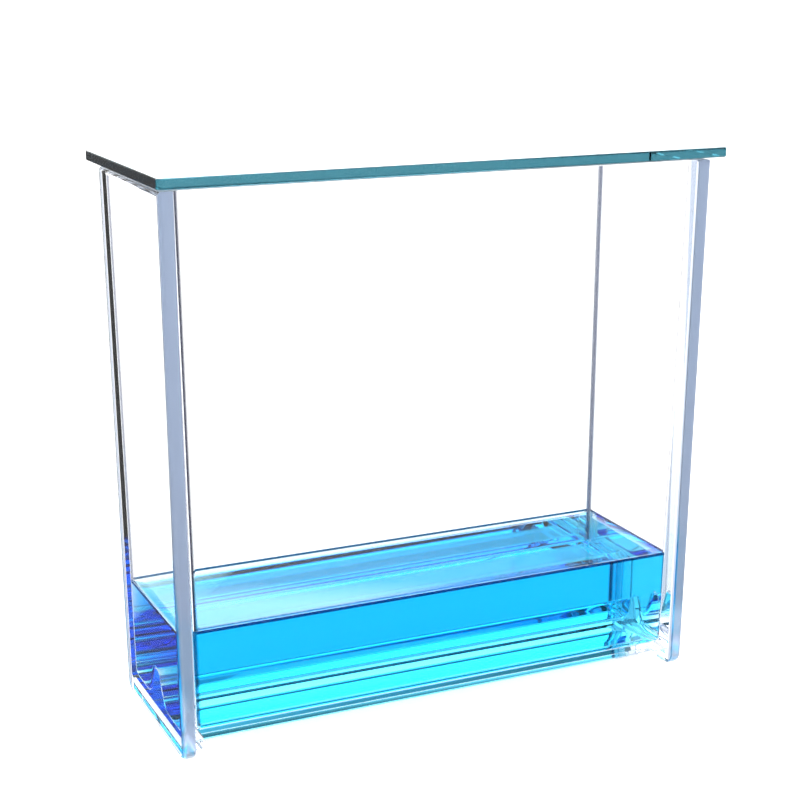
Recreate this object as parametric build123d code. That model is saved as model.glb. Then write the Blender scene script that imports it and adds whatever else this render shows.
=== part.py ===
from build123d import *
from math import cos, radians, sin, tan
import os

# Twin-trough developing chamber for thin-layer plates, in millimetres, +Z up.
# The tank is one pressing of glass, the lid is a loose plate, and blue solvent stands over the ridge.
# Sizes are those of the real chamber, which takes plates 200 mm wide and 200 mm tall.

# Tank, outside
tank_width = 226.2
tank_depth = 78.8
tank_height = 215.0
end_draft = 0.7
edge_draft = 0.48

# End plates, whose edges stand proud of the two long walls and reach down as feet
flange_top_thickness = 5.7
flange_inner_draft = 0.54
flange_corner_radius = 5.0
flange_outer_rounding = 1.8
flange_inner_rounding = 0.7

# Trough body between the end plates
top_recess = 1.6
wall_draft = 0.8
foot_height = 6.0
foot_fillet = 5.0
body_edge_radius = 1.8

# Cavity
long_wall_top = 3.9
end_wall_top = 6.6
cavity_draft = 0.92
cavity_end_draft = 0.95
floor_thickness = 2.9
trough_corner_radius = 4.0
cavity_fillet = 2.0

# Ridge that parts the floor into two troughs, bell-shaped in section
ridge_height = 14.0
ridge_flank_angle = 62.0
ridge_crest_radius = 3.5
ridge_foot_radius = 8.0

# Lid, lying off-centre on the ground rim
lid_width = 235.4
lid_depth = 96.8
lid_thickness = 4.0
lid_left_inset = 0.8
lid_front_inset = 3.6
lid_corner_radius = 1.6
lid_edge_chamfer = 0.35

# Solvent
solvent_level = 49.0

# Places worked out from the sizes above
half_width = tank_width / 2
half_depth = tank_depth / 2
end_slope = tan(radians(end_draft))
edge_slope = tan(radians(edge_draft))
flange_inner_slope = tan(radians(flange_inner_draft))
wall_slope = tan(radians(wall_draft))
cavity_slope = tan(radians(cavity_draft))
cavity_end_slope = tan(radians(cavity_end_draft))
wall_half_depth = half_depth - top_recess
flange_half_width = half_width - flange_top_thickness
cavity_half_width = half_width - end_wall_top
cavity_half_depth = wall_half_depth - long_wall_top
floor_level = foot_height + floor_thickness
lid_left = -half_width + lid_left_inset
lid_front = -half_depth + lid_front_inset
lid_centre_x = lid_left + lid_width / 2
lid_centre_y = lid_front + lid_depth / 2


def drafted_half(top_half, slope, level):
    """Half the span at a level of a part whose two sides lean in downwards from the rim."""
    return top_half - slope * (tank_height - level)


def trapezium(top_half, slope, low, high):
    """Corner points of a section that narrows downwards, from its low left corner round to its low right."""
    low_half = drafted_half(top_half, slope, low)
    high_half = drafted_half(top_half, slope, high)
    return [(-low_half, low), (-high_half, high), (high_half, high), (low_half, low)]


def along_y(section, reach):
    """A section drawn in X and Z, drawn out both ways along Y."""
    return extrude(Plane.XZ * section, amount=reach, both=True)


def along_x(section, reach):
    """A section drawn in Y and Z, drawn out both ways along X."""
    return extrude(Plane.YZ * section, amount=reach, both=True)


def corners_near(shape, level):
    """The corners of a flat section that lie at one level."""
    return [v for v in shape.vertices() if abs(v.Y - level) < 1e-6]


def flange_plate(side):
    """One end plate, from the rim down to the ground: side is -1 on the left and 1 on the right."""
    outer_low = drafted_half(half_width, end_slope, 0)
    inner_low = drafted_half(flange_half_width, flange_inner_slope, 0)
    outline = Polyline(
        (side * inner_low, 0),
        (side * outer_low, 0),
        (side * half_width, tank_height),
        (side * flange_half_width, tank_height),
        close=True,
    )
    front = Polyline(*trapezium(half_depth, edge_slope, 0, tank_height), close=True)
    front = make_face(front)
    front = fillet(corners_near(front, 0), flange_corner_radius)
    plate = along_y(make_face(outline), tank_depth) & along_x(front, tank_width)
    faces = plate.faces().sort_by(Axis.X)
    outer_face = faces[-1] if side > 0 else faces[0]
    plate = fillet(outer_face.edges(), flange_outer_rounding)
    faces = plate.faces().sort_by(Axis.X)
    inner_face = faces[0] if side > 0 else faces[-1]
    inner_edges = [e for e in inner_face.edges() if e.center().Z < tank_height - flange_inner_rounding]
    return fillet(inner_edges, flange_inner_rounding)


def trough_body():
    """The long walls and floor as one block between the end plates, before the cavity is pressed in."""
    section = Polyline(*trapezium(wall_half_depth, wall_slope, foot_height, tank_height), close=True)
    section = make_face(section)
    section = fillet(corners_near(section, foot_height), body_edge_radius)
    middle_of_plate = (half_width + flange_half_width) / 2
    length = Polyline(*trapezium(middle_of_plate, end_slope, foot_height, tank_height), close=True)
    return along_x(section, tank_width) & along_y(make_face(length), tank_depth)


def foot_web(side):
    """The concave web between the underside of the trough and the inner side of one foot."""
    inner = drafted_half(flange_half_width, flange_inner_slope, foot_height)
    lowest = foot_height - foot_fillet
    into_plate = side * (inner + flange_top_thickness / 2)
    web = (
        Line((side * (inner - foot_fillet), foot_height), (into_plate, foot_height))
        + Line((into_plate, foot_height), (into_plate, lowest))
        + Line((into_plate, lowest), (side * inner, lowest))
        + RadiusArc((side * inner, lowest), (side * (inner - foot_fillet), foot_height), side * foot_fillet)
    )
    depth = drafted_half(wall_half_depth, wall_slope, foot_height) - body_edge_radius
    return along_y(make_face(web), depth)


def ridge_half_base():
    """Half the ridge's width at the floor, from its crest arc, straight flank and foot arc."""
    lean = radians(ridge_flank_angle)
    flank_rise = ridge_height - (ridge_crest_radius + ridge_foot_radius) * (1 - cos(lean))
    return (ridge_crest_radius + ridge_foot_radius) * sin(lean) + flank_rise / tan(lean)


def trough_outline():
    """The cavity in section across the tank: two troughs with the bell-shaped ridge between them."""
    floor_half = drafted_half(cavity_half_depth, cavity_slope, floor_level)
    base = ridge_half_base()
    normal = 90 - ridge_flank_angle
    crest_centre = (0, floor_level + ridge_height - ridge_crest_radius)
    foot_centre = (base, floor_level + ridge_foot_radius)
    crest = CenterArc(crest_centre, ridge_crest_radius, normal, 2 * ridge_flank_angle)
    foot = CenterArc(foot_centre, ridge_foot_radius, 180 + normal, ridge_flank_angle)
    flank_and_foot = Line(crest @ 0, foot @ 0) + foot
    outline = (
        crest
        + flank_and_foot
        + mirror(flank_and_foot, Plane.YZ)
        + Line((base, floor_level), (floor_half, floor_level))
        + Line((floor_half, floor_level), (cavity_half_depth, tank_height))
        + Line((cavity_half_depth, tank_height), (-cavity_half_depth, tank_height))
        + Line((-cavity_half_depth, tank_height), (-floor_half, floor_level))
        + Line((-floor_half, floor_level), (-base, floor_level))
    )
    section = make_face(outline)
    outer_corners = [v for v in corners_near(section, floor_level) if abs(v.X) > (base + floor_half) / 2]
    return fillet(outer_corners, trough_corner_radius)


def cavity():
    """The space inside the tank, from the floor of the troughs to the rim."""
    length = make_face(Polyline(*trapezium(cavity_half_width, cavity_end_slope, 0, tank_height), close=True))
    space = along_x(trough_outline(), tank_width) & along_y(length, tank_depth)
    ends = space.faces().sort_by(Axis.X)
    edges = [e for e in ends[0].edges() + ends[-1].edges() if e.center().Z < tank_height - 1e-6]
    return fillet(edges, cavity_fillet)


inside = cavity()
tank = trough_body() + foot_web(-1) + foot_web(1) + flange_plate(-1) + flange_plate(1) - inside

lid = Pos(lid_centre_x, lid_centre_y, tank_height + lid_thickness / 2) * Box(lid_width, lid_depth, lid_thickness)
lid = fillet(lid.edges().filter_by(Axis.Z), lid_corner_radius)
lid = chamfer(lid.faces().sort_by(Axis.Z)[0].edges() + lid.faces().sort_by(Axis.Z)[-1].edges(), lid_edge_chamfer)

below_level = Pos(0, 0, solvent_level / 2) * Box(tank_width, tank_depth, solvent_level)
solvent = inside & below_level

# The origin is the middle of the whole footprint, lid included, on the ground.
footprint = tank.bounding_box().add(lid.bounding_box())
to_origin = Pos(-footprint.center().X, -footprint.center().Y, 0)

os.makedirs("parts", exist_ok=True)
for name, solid in {"tank": tank, "lid": lid, "solvent": solvent}.items():
    placed = to_origin * solid
    print(name, "solids", len(placed.solids()), "volume", round(placed.volume), placed.bounding_box())
    export_step(placed, f"parts/{name}.step")
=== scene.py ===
# %% [markdown]
# # A twin-trough developing chamber in Blender
# The object is three real things: a tank pressed in one piece of clear glass, a loose plate-glass
# lid and the blue solvent that stands in the troughs. The tank and the lid come in as fixed solids
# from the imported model, so this lesson is about what glass and liquid need to look right: thickness
# that colours the light, a rim that is ground, a liquid skin that creeps up the walls, and a bright
# studio for all of it to bend.

# %% Load the frame
from math import cos, exp, radians

import bmesh
import bpy
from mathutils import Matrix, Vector


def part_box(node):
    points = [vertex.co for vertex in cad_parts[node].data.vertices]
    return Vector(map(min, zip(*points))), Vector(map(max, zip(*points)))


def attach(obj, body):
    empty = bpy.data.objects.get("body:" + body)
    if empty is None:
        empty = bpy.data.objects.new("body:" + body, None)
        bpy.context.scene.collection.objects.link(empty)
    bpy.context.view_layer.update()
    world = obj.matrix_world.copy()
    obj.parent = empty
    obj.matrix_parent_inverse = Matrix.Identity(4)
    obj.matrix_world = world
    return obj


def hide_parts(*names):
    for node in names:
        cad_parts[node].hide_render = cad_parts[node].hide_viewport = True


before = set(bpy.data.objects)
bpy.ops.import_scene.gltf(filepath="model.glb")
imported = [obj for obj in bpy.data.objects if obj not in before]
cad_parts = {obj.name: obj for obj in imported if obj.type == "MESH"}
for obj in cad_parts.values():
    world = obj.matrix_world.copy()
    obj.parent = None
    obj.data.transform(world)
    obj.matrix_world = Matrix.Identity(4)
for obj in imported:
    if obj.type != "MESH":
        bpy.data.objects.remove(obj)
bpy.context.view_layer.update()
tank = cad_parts["tank"]
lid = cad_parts["lid"]
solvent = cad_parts["solvent"]

# %% [markdown]
# ## Where the object stands
# Every later size is measured from the pieces themselves. The rim is where the tank ends and the
# lid begins, and the level is the top of the solvent. Reading them from the frame keeps the looks
# tied to the model when a size changes.

# %% Measure the pieces
MM = 0.001
tank_low, tank_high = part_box("tank")
lid_low, lid_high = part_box("lid")
solvent_low, solvent_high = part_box("solvent")
rim_height = tank_high[2]
level = solvent_high[2]
print("rim at", round(rim_height / MM, 1), "mm and solvent level at", round(level / MM, 1), "mm")

# %% [markdown]
# ## The camera
# The picture was taken from the front left and a little above, from about 0.7 m away, with a short
# telephoto lens. Blender's camera looks down its own -Z axis, so a camera that looks level along +Y
# is turned 90 degrees about X. Tilting it down takes some of that away, and turning it to the right
# is a negative turn about Z.

# %% Place the camera
EYE = Vector((-0.2815, -0.6039, 0.2940))
LOOK_DOWN = 14.91
TURN_RIGHT = 24.66
FOCAL_PIXELS = 1683.0
IMAGE_PIXELS = 800
SENSOR_MM = 36.0
NEAREST_SEEN = 10 * MM

camera_data = bpy.data.cameras.new("camera")
camera_data.sensor_width = SENSOR_MM
camera_data.lens = FOCAL_PIXELS / IMAGE_PIXELS * SENSOR_MM
camera_data.clip_start = NEAREST_SEEN
camera = bpy.data.objects.new("camera", camera_data)
camera.location = EYE
camera.rotation_euler = (radians(90 - LOOK_DOWN), 0, radians(-TURN_RIGHT))
bpy.context.collection.objects.link(camera)
bpy.context.scene.camera = camera
print("lens", round(camera_data.lens, 1), "mm")

# %% [markdown]
# ## Small helpers for shader nodes
# A material is a graph. Three helpers keep it readable: one adds a node and sets its plain inputs
# by name, one joins two sockets, and one starts an empty material.

# %% Node helpers
WHITE = (1.0, 1.0, 1.0, 1.0)


def add_node(tree, kind, **inputs):
    """Adds a node of one kind and sets its inputs, named with underscores for spaces."""
    node = tree.nodes.new(kind)
    for name, value in inputs.items():
        node.inputs[name.replace("_", " ")].default_value = value
    return node


def join(tree, source, target):
    """Joins an output socket to an input socket."""
    tree.links.new(target, source)


def new_material(name):
    """An empty material with its output node."""
    material = bpy.data.materials.new(name)
    material.use_nodes = True
    material.node_tree.nodes.clear()
    output = add_node(material.node_tree, "ShaderNodeOutputMaterial")
    return material, material.node_tree, output


# %% [markdown]
# ## Pressed and drawn surfaces are never quite flat
# Glass that met a mould has long shallow waves, and float glass has far finer ones. Both come from
# one group of nodes: stretched noise made into a bump. The group puts out a normal and nothing
# else, so each surface places it with its own waves per metre and depth.

# %% Build the ripple group
DRAWN_TALL = (1.0, 1.0, 0.45)


def make_ripple_group():
    """A node group that turns stretched noise into a gently waving normal."""
    group = bpy.data.node_groups.new("glass_ripple", "ShaderNodeTree")
    sockets = group.interface
    sockets.new_socket("Waves per metre", in_out="INPUT", socket_type="NodeSocketFloat")
    sockets.new_socket("Depth", in_out="INPUT", socket_type="NodeSocketFloat")
    sockets.new_socket("Normal", in_out="OUTPUT", socket_type="NodeSocketVector")
    inside = add_node(group, "NodeGroupInput")
    outside = add_node(group, "NodeGroupOutput")
    place = add_node(group, "ShaderNodeTexCoord")
    stretch = add_node(group, "ShaderNodeMapping", Scale=DRAWN_TALL)
    noise = add_node(group, "ShaderNodeTexNoise", Detail=2.0, Roughness=0.4)
    bump = add_node(group, "ShaderNodeBump", Strength=1.0)
    join(group, place.outputs["Object"], stretch.inputs["Vector"])
    join(group, stretch.outputs["Vector"], noise.inputs["Vector"])
    join(group, inside.outputs["Waves per metre"], noise.inputs["Scale"])
    join(group, inside.outputs["Depth"], bump.inputs["Distance"])
    join(group, noise.outputs["Fac"], bump.inputs["Height"])
    join(group, bump.outputs["Normal"], outside.inputs["Normal"])
    return group


ripple_group = make_ripple_group()


def add_ripple(tree, waves, depth, shader):
    """Places the ripple group in a material and joins its normal to the shader."""
    ripple = tree.nodes.new("ShaderNodeGroup")
    ripple.node_tree = ripple_group
    ripple.inputs["Waves per metre"].default_value = waves
    ripple.inputs["Depth"].default_value = depth
    join(tree, ripple.outputs["Normal"], shader.inputs["Normal"])


# %% [markdown]
# ## Glass that is coloured by its depth
# Clear glass looks white through a wall and coloured along an edge, because light that enters an
# edge travels a long way inside. The surface shader therefore stays colourless, and the colour is a
# volume that absorbs. Each of red, green and blue has a number per metre, and a path leaves
# exp(-number * path) of it. The shader wants one density and a colour, so a helper converts them.


# %% Glass and liquid bodies
def clear_body(name, ior, taken_per_metre):
    """A clear refracting material whose volume takes a share of red, green and blue."""
    material, tree, output = new_material(name)
    surface = add_node(
        tree,
        "ShaderNodeBsdfPrincipled",
        Base_Color=WHITE,
        Roughness=0.0,
        IOR=ior,
        Transmission_Weight=1.0,
    )
    density = max(taken_per_metre)
    colour = [1 - taken / density for taken in taken_per_metre]
    volume = add_node(tree, "ShaderNodeVolumeAbsorption", Color=(*colour, 1.0), Density=density)
    join(tree, surface.outputs["BSDF"], output.inputs["Surface"])
    join(tree, volume.outputs["Volume"], output.inputs["Volume"])
    return material, tree, surface


# %% [markdown]
# ## What a polarising filter does
# A pane seen at a slant mirrors the white floor beside it on both of its faces, which would lay a
# milky veil over the blue behind. Photographers turn a polarising filter until those reflections
# go. The same is done here: at the first two faces that a ray from the camera meets, it is mostly
# refracted, and every later meeting reflects as usual. A filter turned for upright panes leaves
# level ones alone, so only upright faces are filtered. It leaves total reflection alone too, and a
# Fresnel node near 1 is how the material tells where that is.


# %% Filtered glass
FILTERED_SHARE = 0.86
FILTERED_DEPTH = 1.5
NEARLY_TOTAL = 0.9
LEAN_OF_UPRIGHT = 0.5


def math_node(tree, operation, first, second):
    """A Math node whose two inputs are sockets to join or plain numbers."""
    node = add_node(tree, "ShaderNodeMath")
    node.operation = operation
    for socket, value in zip(node.inputs, (first, second)):
        if isinstance(value, float):
            socket.default_value = value
        else:
            join(tree, value, socket)
    return node.outputs["Value"]


def filter_reflection(tree, surface):
    """Lets a ray through the first two faces it meets without a partial reflection."""
    output = next(node for node in tree.nodes if node.bl_idname == "ShaderNodeOutputMaterial")
    through = add_node(tree, "ShaderNodeBsdfRefraction", Roughness=0.0)
    mirror_share = add_node(tree, "ShaderNodeFresnel")
    for copy in (through, mirror_share):
        copy.inputs["IOR"].default_value = surface.inputs["IOR"].default_value
    for name in ("Normal", "Roughness", "IOR", "Base Color"):
        for link in surface.inputs[name].links:
            for copy in (through, mirror_share):
                target = copy.inputs.get("Color" if name == "Base Color" else name)
                if target:
                    join(tree, link.from_socket, target)
    path = add_node(tree, "ShaderNodeLightPath")
    early = math_node(tree, "LESS_THAN", path.outputs["Ray Depth"], FILTERED_DEPTH)
    partial = math_node(tree, "LESS_THAN", mirror_share.outputs["Fac"], NEARLY_TOTAL)
    face = add_node(tree, "ShaderNodeNewGeometry")
    facing = add_node(tree, "ShaderNodeSeparateXYZ")
    join(tree, face.outputs["True Normal"], facing.inputs["Vector"])
    upright = math_node(tree, "COMPARE", facing.outputs["Z"], 0.0)
    upright.node.inputs[2].default_value = LEAN_OF_UPRIGHT
    early_and_partial = math_node(tree, "MULTIPLY", early, partial)
    all_three = math_node(tree, "MULTIPLY", early_and_partial, upright)
    share = math_node(tree, "MULTIPLY", all_three, FILTERED_SHARE)
    choice = add_node(tree, "ShaderNodeMixShader")
    join(tree, share, choice.inputs["Fac"])
    join(tree, surface.outputs["BSDF"], choice.inputs[1])
    join(tree, through.outputs["BSDF"], choice.inputs[2])
    join(tree, choice.outputs["Shader"], output.inputs["Surface"])


# %% [markdown]
# ## Shading a merged copy
# The solids arrive with their corners split, face by face. A copy that is to be cut or reshaped is
# merged first, which throws its smooth shading away. Averaging the faces round a corner by their
# area brings it back: a wide flat face keeps its true direction right up to its border, and the
# narrow strips of a rounding turn evenly between two flats. Faces that meet at a real edge are
# left out of each other's average, so the edge stays crisp.


# %% Merge and shade helpers
WELD = 0.002 * MM
CRISP_EDGE = cos(radians(35))


def merged_copy(mesh, name):
    """A copy of a mesh with its split corners welded, opened for modelling."""
    copy = mesh.copy()
    copy.name = name
    copy.materials.clear()
    shape = bmesh.new()
    shape.from_mesh(copy)
    bmesh.ops.remove_doubles(shape, verts=shape.verts, dist=WELD)
    bmesh.ops.recalc_face_normals(shape, faces=shape.faces)
    shape.normal_update()
    return copy, shape


def close_and_shade(shape, mesh):
    """Writes the shape to its mesh, with normals averaged by area across all but crisp edges."""
    shape.normal_update()
    areas = {face: face.calc_area() for face in shape.faces}
    normals = []
    for face in shape.faces:
        face.smooth = True
        for corner in face.verts:
            smooth_with = [f for f in corner.link_faces if f.normal.dot(face.normal) > CRISP_EDGE]
            total = sum((f.normal * areas[f] for f in smooth_with), Vector())
            normals.append(total.normalized())
    open_edges = sum(edge.is_boundary for edge in shape.edges)
    print(mesh.name, "has", len(shape.faces), "faces and", open_edges, "open edges")
    shape.to_mesh(mesh)
    shape.free()
    mesh.normals_split_custom_set(normals)


def new_piece(name, mesh, node):
    """Adds a finished mesh to the scene in the place of one of the solids."""
    piece = bpy.data.objects.new(name, mesh)
    bpy.context.collection.objects.link(piece)
    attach(piece, "root")
    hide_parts(node)
    return piece


# %% [markdown]
# ## The tank's glass
# It is nearly clear, so one wall takes only two or three hundredths of the light, and a little
# more from red than from blue. The rim was ground flat to seat the lid, and the upright edges of
# the end plates keep the satin skin of the mould, while everything else is fire-polished. Where a
# point lies tells them apart, so no extra geometry is needed. A map range turns the last fraction
# of a millimetre below the rim into roughness.

# %% Tank glass
TANK_TAKES = (5.5, 4.8, 3.6)
GLASS_IOR = 1.5
TANK_WAVES = 22.0
TANK_WAVE_DEPTH = 0.02 * MM
GROUND_ROUGHNESS = 0.45
GROUND_EDGE = 0.15 * MM

tank_glass, tree, surface = clear_body("pressed_tank_glass", GLASS_IOR, TANK_TAKES)
add_ripple(tree, TANK_WAVES, TANK_WAVE_DEPTH, surface)
place = add_node(tree, "ShaderNodeTexCoord")
split = add_node(tree, "ShaderNodeSeparateXYZ")
ground = add_node(
    tree,
    "ShaderNodeMapRange",
    From_Min=rim_height - 2 * GROUND_EDGE,
    From_Max=rim_height - GROUND_EDGE,
    To_Min=0.0,
    To_Max=GROUND_ROUGHNESS,
)
join(tree, place.outputs["Object"], split.inputs["Vector"])
join(tree, split.outputs["Z"], ground.inputs["Value"])

# %% [markdown]
# The satin strips are what stands further out than the long walls. Those walls lean in by 0.8
# degrees towards the floor, and WALL_LEAN is the tangent of that angle. Adding what they have drawn
# back at each height to a point's distance from the middle makes one limit hold all the way down.

# %% Satin edges of the end plates
SATIN_ROUGHNESS = 0.4
SATIN_START = 0.3 * MM
SATIN_EDGE = 0.5 * MM
WALL_LEAN = 0.01396
WALL_FACE = 37.8 * MM

tank_middle = (tank_low + tank_high) / 2
below_rim = math_node(tree, "SUBTRACT", rim_height, split.outputs["Z"])
drawn_back = math_node(tree, "MULTIPLY", below_rim, WALL_LEAN)
from_middle = math_node(tree, "SUBTRACT", split.outputs["Y"], tank_middle.y)
off_middle = math_node(tree, "ABSOLUTE", from_middle, 0.0)
lined_up = math_node(tree, "ADD", off_middle, drawn_back)
beyond = math_node(tree, "SUBTRACT", lined_up, WALL_FACE)
satin = add_node(
    tree,
    "ShaderNodeMapRange",
    From_Min=SATIN_START,
    From_Max=SATIN_START + SATIN_EDGE,
    To_Min=0.0,
    To_Max=SATIN_ROUGHNESS,
)
join(tree, beyond, satin.inputs["Value"])
rougher = math_node(tree, "MAXIMUM", ground.outputs["Result"], satin.outputs["Result"])
join(tree, rougher, surface.inputs["Roughness"])
tank.material_slots[0].material = tank_glass

# %% [markdown]
# ## Glass that is wet
# Where the solvent wets the wall there is no air, and light crosses straight from one into the
# other. That border bends it far less than a border with air, so it has an index of its own: glass
# divided by liquid. The inner walls of a merged copy are cut level at the height the liquid creeps
# to, and every face below the cut is marked wet. The material reads the mark and picks the index.
# It stays one material, because light that entered the glass has to leave it through the same one.
# The ground rim is lowered by a hair in the copy, because two ground plates never quite touch, and
# the film of air between them is what makes the rim show as it does.


# %% Helpers for wet faces
def mark_faces(mesh, name, marks):
    """Stores a mark from 0 to 1 on every face of a mesh under a name that materials can read."""
    mark = mesh.attributes.new(name, "FLOAT", "FACE")
    mark.data.foreach_set("value", [float(value) for value in marks])


def read_mark(tree, name):
    """The socket through which a material reads the mark of each face."""
    mark = add_node(tree, "ShaderNodeAttribute")
    mark.attribute_name = name
    return mark.outputs["Fac"]


def index_by_mark(tree, surface, name, marked_index):
    """Gives a surface another index of refraction on its marked faces."""
    plain_index = surface.inputs["IOR"].default_value
    index = add_node(tree, "ShaderNodeMapRange", To_Min=plain_index, To_Max=marked_index)
    join(tree, read_mark(tree, name), index.inputs["Value"])
    join(tree, index.outputs["Result"], surface.inputs["IOR"])


# %% Wetted tank
SOLVENT_IOR = 1.345
MENISCUS_RISE = 1.2 * MM
WALL_LEANS_OUT = 3.0 * MM
UNDER_FLOOR = 1.0 * MM
LOOKS_UP = 0.3
GAP_UNDER_LID = 0.03 * MM

wet_line = level + MENISCUS_RISE
tank_mesh, shape = merged_copy(tank.data, "tank_wetted_inside")


def lines_the_cavity(face):
    """Whether a face is part of the inner walls, the floor or the ridge."""
    centre = face.calc_center_median()
    inside_x = solvent_low[0] - WALL_LEANS_OUT < centre.x < solvent_high[0] + WALL_LEANS_OUT
    inside_y = solvent_low[1] - WALL_LEANS_OUT < centre.y < solvent_high[1] + WALL_LEANS_OUT
    looks_in = face.normal.z > LOOKS_UP or face.normal.xy.dot(centre.xy - tank_middle.xy) < 0
    return inside_x and inside_y and looks_in and centre.z > solvent_low[2] - UNDER_FLOOR


for corner in shape.verts:
    if corner.co.z > rim_height - WELD:
        corner.co.z -= GAP_UNDER_LID
lining = [face for face in shape.faces if lines_the_cavity(face)]
lining += list({e for f in lining for e in f.edges} | {v for f in lining for v in f.verts})
bmesh.ops.bisect_plane(shape, geom=lining, dist=WELD, plane_co=(0, 0, wet_line), plane_no=(0, 0, 1))
wet = [lines_the_cavity(f) and f.calc_center_median().z < wet_line for f in shape.faces]
print("wet faces:", sum(wet), "of", len(wet))

# %% [markdown]
# The four upright corners inside the tank are round. Such a corner bends light far to the side,
# past the white surround to the dark room, and so it draws as a slate line. The room isn't part of
# this scene, so the corners are marked by how far each of their faces turns from both walls.

# %% Mark the inner corners
LEVEL_ENOUGH = 0.3
PLAINLY_TURNED = 0.1


def corner_share(face):
    """How much a face belongs to a round upright corner inside the tank."""
    turned = 2 * min(abs(face.normal.x), abs(face.normal.y))
    upright = abs(face.normal.z) < LEVEL_ENOUGH
    return min(turned, 1.0) if upright and lines_the_cavity(face) else 0.0


inner_corner = [corner_share(f) for f in shape.faces]
print("faces in the inner corners:", sum(share > PLAINLY_TURNED for share in inner_corner))
close_and_shade(shape, tank_mesh)
mark_faces(tank_mesh, "wet", wet)
mark_faces(tank_mesh, "inner_corner", inner_corner)
index_by_mark(tree, surface, "wet", GLASS_IOR / SOLVENT_IOR)

# %% [markdown]
# ## The painted shade at the liquid's edge
# Where the skin curves up against the wall it turns light away by total reflection, and seen through
# the wall the level draws as a narrow dark line. That line is painted here as shade. It is the line
# that makes the level easy to read from any side. It needs no geometry: the wet faces are tinted navy
# from just below the level up to where they end. The tints of the tank are laid over each other, each
# by its own mask.


# %% Helper for tints
def mix_colours(tree, share, first, second):
    """Mixes a first colour, plain or from a socket, with a plain second one by a share."""
    node = add_node(tree, "ShaderNodeMix")
    node.data_type = "RGBA"
    sockets = {socket.identifier: socket for socket in node.inputs}
    join(tree, share, sockets["Factor_Float"])
    sockets["B_Color"].default_value = second
    if isinstance(first, tuple):
        sockets["A_Color"].default_value = first
    else:
        join(tree, first, sockets["A_Color"])
    return next(socket for socket in node.outputs if socket.identifier == "Result_Color")


# %% Painted shade at the level
# The navy below is painted shade. It stands for the dark line that the curved skin draws at the
# level.
LEVEL_PAINTED_SHADE = (0.0, 0.01, 0.05, 1.0)
RING_BELOW_LEVEL = 0.3 * MM
RING_SOFTNESS = 0.25 * MM

ring = add_node(
    tree,
    "ShaderNodeMapRange",
    From_Min=level - RING_BELOW_LEVEL,
    From_Max=level - RING_BELOW_LEVEL + RING_SOFTNESS,
)
join(tree, split.outputs["Z"], ring.inputs["Value"])
on_wet = math_node(tree, "MULTIPLY", ring.outputs["Result"], read_mark(tree, "wet"))
tinted = mix_colours(tree, on_wet, WHITE, LEVEL_PAINTED_SHADE)

# %% Slate corners
SLATE = (0.05, 0.055, 0.085, 1.0)

tinted = mix_colours(tree, read_mark(tree, "inner_corner"), tinted, SLATE)

# %% [markdown]
# The satin skin scatters light inside itself, so the upright edges look lavender grey against the
# clear walls. The same mask that roughens them tints them.

# %% Satin tint
SATIN_COLOUR = (0.46, 0.52, 0.62, 1.0)

satin_share = math_node(tree, "DIVIDE", satin.outputs["Result"], SATIN_ROUGHNESS)
tinted = mix_colours(tree, satin_share, tinted, SATIN_COLOUR)
join(tree, tinted, surface.inputs["Base Color"])

# %% Finish the tank
filter_reflection(tree, surface)
tank_mesh.materials.append(tank_glass)
new_piece("tank_pressed", tank_mesh, "tank")

# %% [markdown]
# ## The lid's glass
# Float glass holds iron, which takes red first, so its long edges show the well-known teal while
# the 4 mm thickness stays clear. Its upright edges are filtered as the tank's panes are.

# %% Lid glass
LID_TAKES = (31.0, 17.5, 15.0)
LID_IOR = 1.52
LID_WAVES = 9.0
LID_WAVE_DEPTH = 0.004 * MM

lid_glass, tree, surface = clear_body("float_lid_glass", LID_IOR, LID_TAKES)
add_ripple(tree, LID_WAVES, LID_WAVE_DEPTH, surface)
filter_reflection(tree, surface)
lid.material_slots[0].material = lid_glass

# %% [markdown]
# ## The solvent
# The liquid's body fills the troughs and its skin creeps up the walls as a meniscus. The piece
# starts as a merged copy of the solvent's solid. Its sides reach a tenth of a millimetre into the
# glass, so no film of air is left between them. The open top is drawn in ring by ring, and each
# ring is lifted by how near it is to the wall.

# %% Copy the solvent's solid
INTO_GLASS = 0.12 * MM

liquid_mesh, shape = merged_copy(solvent.data, "solvent_with_meniscus")
top_faces = [f for f in shape.faces if all(v.co.z > level - WELD for v in f.verts)]
bmesh.ops.delete(shape, geom=top_faces, context="FACES")
print("solvent copy:", len(shape.verts), "corners,", len(shape.faces), "faces without the top")

# %% Push the liquid into the glass
for corner in shape.verts:
    outward = corner.normal.copy()
    if corner.co.z > level - WELD:
        outward.z = 0.0
    corner.co += outward.normalized() * INTO_GLASS

# %% [markdown]
# The skin is drawn in from that open edge. Seen from above the edge is a rectangle with small
# round corners, so a point keeps its place along a straight side or its direction on a corner
# while the rectangle shrinks.

# %% Lift the meniscus
MENISCUS_FADE = 1.2 * MM
RINGS = [step * MM for step in (0.2, 0.45, 0.75, 1.15, 1.7, 2.5, 3.6, 5.0)]
CORNER_RADIUS = 2.0 * MM + INTO_GLASS
SMALLEST_RADIUS = 0.3 * MM

edge = [e for e in shape.edges if e.is_boundary]
across = [v.co for e in edge for v in e.verts]
middle = Vector([(min(p[i] for p in across) + max(p[i] for p in across)) / 2 for i in range(2)])
half = Vector([(max(p[i] for p in across) - min(p[i] for p in across)) / 2 for i in range(2)])


def skin_height(distance):
    """Height of the liquid's skin at some distance from the wall."""
    return level + MENISCUS_RISE * exp(-distance / MENISCUS_FADE)


def corner_of(distance):
    """Centre and radius of the outline's round corner once it is drawn in by a distance."""
    radius = max(CORNER_RADIUS - distance, SMALLEST_RADIUS)
    return half - Vector((distance + radius, distance + radius)), radius


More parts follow.
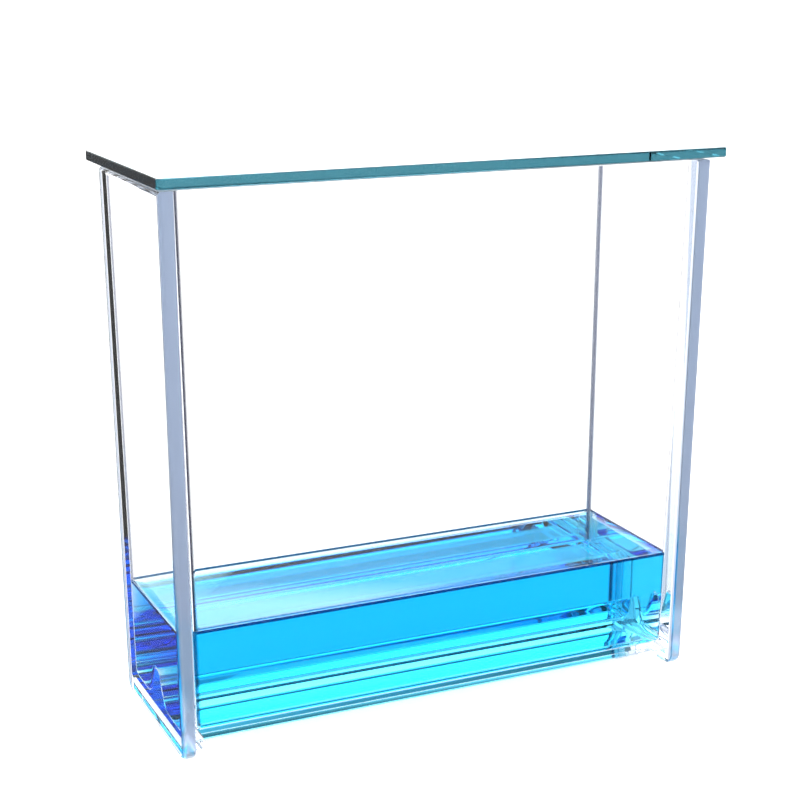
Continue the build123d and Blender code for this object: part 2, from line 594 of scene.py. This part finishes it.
def drawn_in(point, before, after):
    """Moves a point of the outline from one distance off the wall to a larger one."""
    centre, radius = corner_of(before)
    inner_centre, inner_radius = corner_of(after)
    offset = point.xy - middle
    sign = Vector((1.0 if offset.x > 0 else -1.0, 1.0 if offset.y > 0 else -1.0))
    past_centre = Vector((max(abs(offset.x) - centre.x, 0.0), max(abs(offset.y) - centre.y, 0.0)))
    placed = inner_centre + past_centre.normalized() * inner_radius
    return Vector((middle.x + sign.x * placed.x, middle.y + sign.y * placed.y, skin_height(after)))


for corner in {v for e in edge for v in e.verts}:
    corner.co.z = skin_height(0.0)
distance = 0.0
for next_distance in RINGS:
    grown = bmesh.ops.extrude_edge_only(shape, edges=edge)["geom"]
    edge = [g for g in grown if isinstance(g, bmesh.types.BMEdge) and g.is_boundary]
    for corner in {v for e in edge for v in e.verts}:
        corner.co = drawn_in(corner.co, distance, next_distance)
    distance = next_distance
bmesh.ops.contextual_create(shape, geom=edge)
bmesh.ops.recalc_face_normals(shape, faces=shape.faces)
print("meniscus:", len(RINGS), "rings out to", round(distance / MM, 1), "mm")

# %% [markdown]
# ## The solvent's two borders
# The skin borders on air and takes the liquid's own index. The sides lie inside the glass, where
# the wetted wall already bends the light, so their index is 1 and they only close the volume that
# colours it. The blue dye in that volume takes nearly all the red, some of the green and hardly
# any of the blue. A liquid at rest is almost flat, so its waves are fine and very shallow.

# %% Solvent material
SOLVENT_TAKES = (85.0, 13.0, 1.8)
SOLVENT_WAVES = 30.0
SOLVENT_WAVE_DEPTH = 0.002 * MM
NO_BENDING = 1.0

solvent_blue, tree, surface = clear_body("blue_solvent", SOLVENT_IOR, SOLVENT_TAKES)
add_ripple(tree, SOLVENT_WAVES, SOLVENT_WAVE_DEPTH, surface)
index_by_mark(tree, surface, "inside_glass", NO_BENDING)
inside_glass = [min(v.co.z for v in f.verts) < level - WELD for f in shape.faces]
close_and_shade(shape, liquid_mesh)
mark_faces(liquid_mesh, "inside_glass", inside_glass)
liquid_mesh.materials.append(solvent_blue)
new_piece("solvent_liquid", liquid_mesh, "solvent")
solvent.material_slots[0].material = solvent_blue

# %% [markdown]
# ## Floor and light
# The picture has a pure white surround. Here the object stands on a light table, a grey floor that
# glows enough to look white, so that little of the light above it shows in it.

# %% Floor
FLOOR_REACH = 30.0
TABLE_GLOW = 0.85
TABLE_COLOUR = (0.35, 0.35, 0.35, 1.0)
TABLE_ROUGHNESS = 0.9

floor_mesh = bpy.data.meshes.new("floor")
shape = bmesh.new()
bmesh.ops.create_grid(shape, x_segments=1, y_segments=1, size=FLOOR_REACH)
shape.to_mesh(floor_mesh)
shape.free()
floor = bpy.data.objects.new("floor", floor_mesh)
bpy.context.collection.objects.link(floor)
light_table, tree, output = new_material("white_sweep")
surface = add_node(
    tree,
    "ShaderNodeBsdfPrincipled",
    Base_Color=TABLE_COLOUR,
    Roughness=TABLE_ROUGHNESS,
    Emission_Color=WHITE,
    Emission_Strength=TABLE_GLOW,
)
join(tree, surface.outputs["BSDF"], output.inputs["Surface"])
floor_mesh.materials.append(light_table)
print("floor:", 2 * FLOOR_REACH, "m across, glowing at", TABLE_GLOW)

# %% [markdown]
# Clear glass shows only what it bends and mirrors, so the light around it is arranged by height.
# It is bright at the horizon, which a slanting look at the lid's top mirrors as white. Above that
# lies a dark band, which the solvent's skin mirrors as a deeper tone, and above the band a broad
# bright one, as soft boxes would give. Each pair below is a height, from 0 at the horizon to 1
# straight up, and the light that comes from there.

# %% World
LIGHT_BY_HEIGHT = [
    (0.0, 2.2),
    (0.16, 2.2),
    (0.26, 0.6),
    (0.3, 0.3),
    (0.345, 0.5),
    (0.36, 0.9),
    (0.37, 3.6),
    (0.7, 3.6),
    (0.8, 0.6),
]
BRIGHTEST = max(light for height, light in LIGHT_BY_HEIGHT)

world = bpy.data.worlds.new("studio")
bpy.context.scene.world = world
world.use_nodes = True
tree = world.node_tree
tree.nodes.clear()
output = add_node(tree, "ShaderNodeOutputWorld")
background = add_node(tree, "ShaderNodeBackground", Strength=BRIGHTEST)
direction = add_node(tree, "ShaderNodeTexCoord")
split = add_node(tree, "ShaderNodeSeparateXYZ")
ramp = add_node(tree, "ShaderNodeValToRGB")
while len(ramp.color_ramp.elements) < len(LIGHT_BY_HEIGHT):
    ramp.color_ramp.elements.new(1.0)
for stop, (height, light) in zip(ramp.color_ramp.elements, LIGHT_BY_HEIGHT):
    stop.position = height
    stop.color = [light / BRIGHTEST] * 3 + [1.0]
join(tree, direction.outputs["Generated"], split.inputs["Vector"])
join(tree, split.outputs["Z"], ramp.inputs["Fac"])
join(tree, ramp.outputs["Color"], background.inputs["Color"])
join(tree, background.outputs["Background"], output.inputs["Surface"])
print("light by height:", len(LIGHT_BY_HEIGHT), "steps, the brightest", BRIGHTEST)

# %% [markdown]
# A wide soft lamp above, tilted a little off the upright, adds the gentle shading of a studio.

# %% Overhead lamp
SUN_STRENGTH = 0.6
SUN_SPREAD = 60.0
LEAN_FORWARD = 12.0
LEAN_ASIDE = 14.0

data = bpy.data.lights.new("overhead_light", "SUN")
data.energy = SUN_STRENGTH
data.angle = radians(SUN_SPREAD)
overhead = bpy.data.objects.new("overhead_light", data)
overhead.rotation_euler = (radians(LEAN_FORWARD), radians(LEAN_ASIDE), 0)
bpy.context.collection.objects.link(overhead)

# %% [markdown]
# ## Light that passes through many faces
# A ray that enters an end plate crosses or bounces off a dozen faces before it leaves, so the
# limits on bounces are raised. The picture is bright and clean, and the plain view transform keeps
# its whites white and its blues saturated.

# %% Bounces and colour
MOST_BOUNCES = 40
GLOSSY_BOUNCES = 12

cycles = bpy.context.scene.cycles
cycles.max_bounces = MOST_BOUNCES
cycles.transmission_bounces = MOST_BOUNCES
cycles.transparent_max_bounces = MOST_BOUNCES
cycles.glossy_bounces = GLOSSY_BOUNCES
bpy.context.scene.view_settings.view_transform = "Standard"
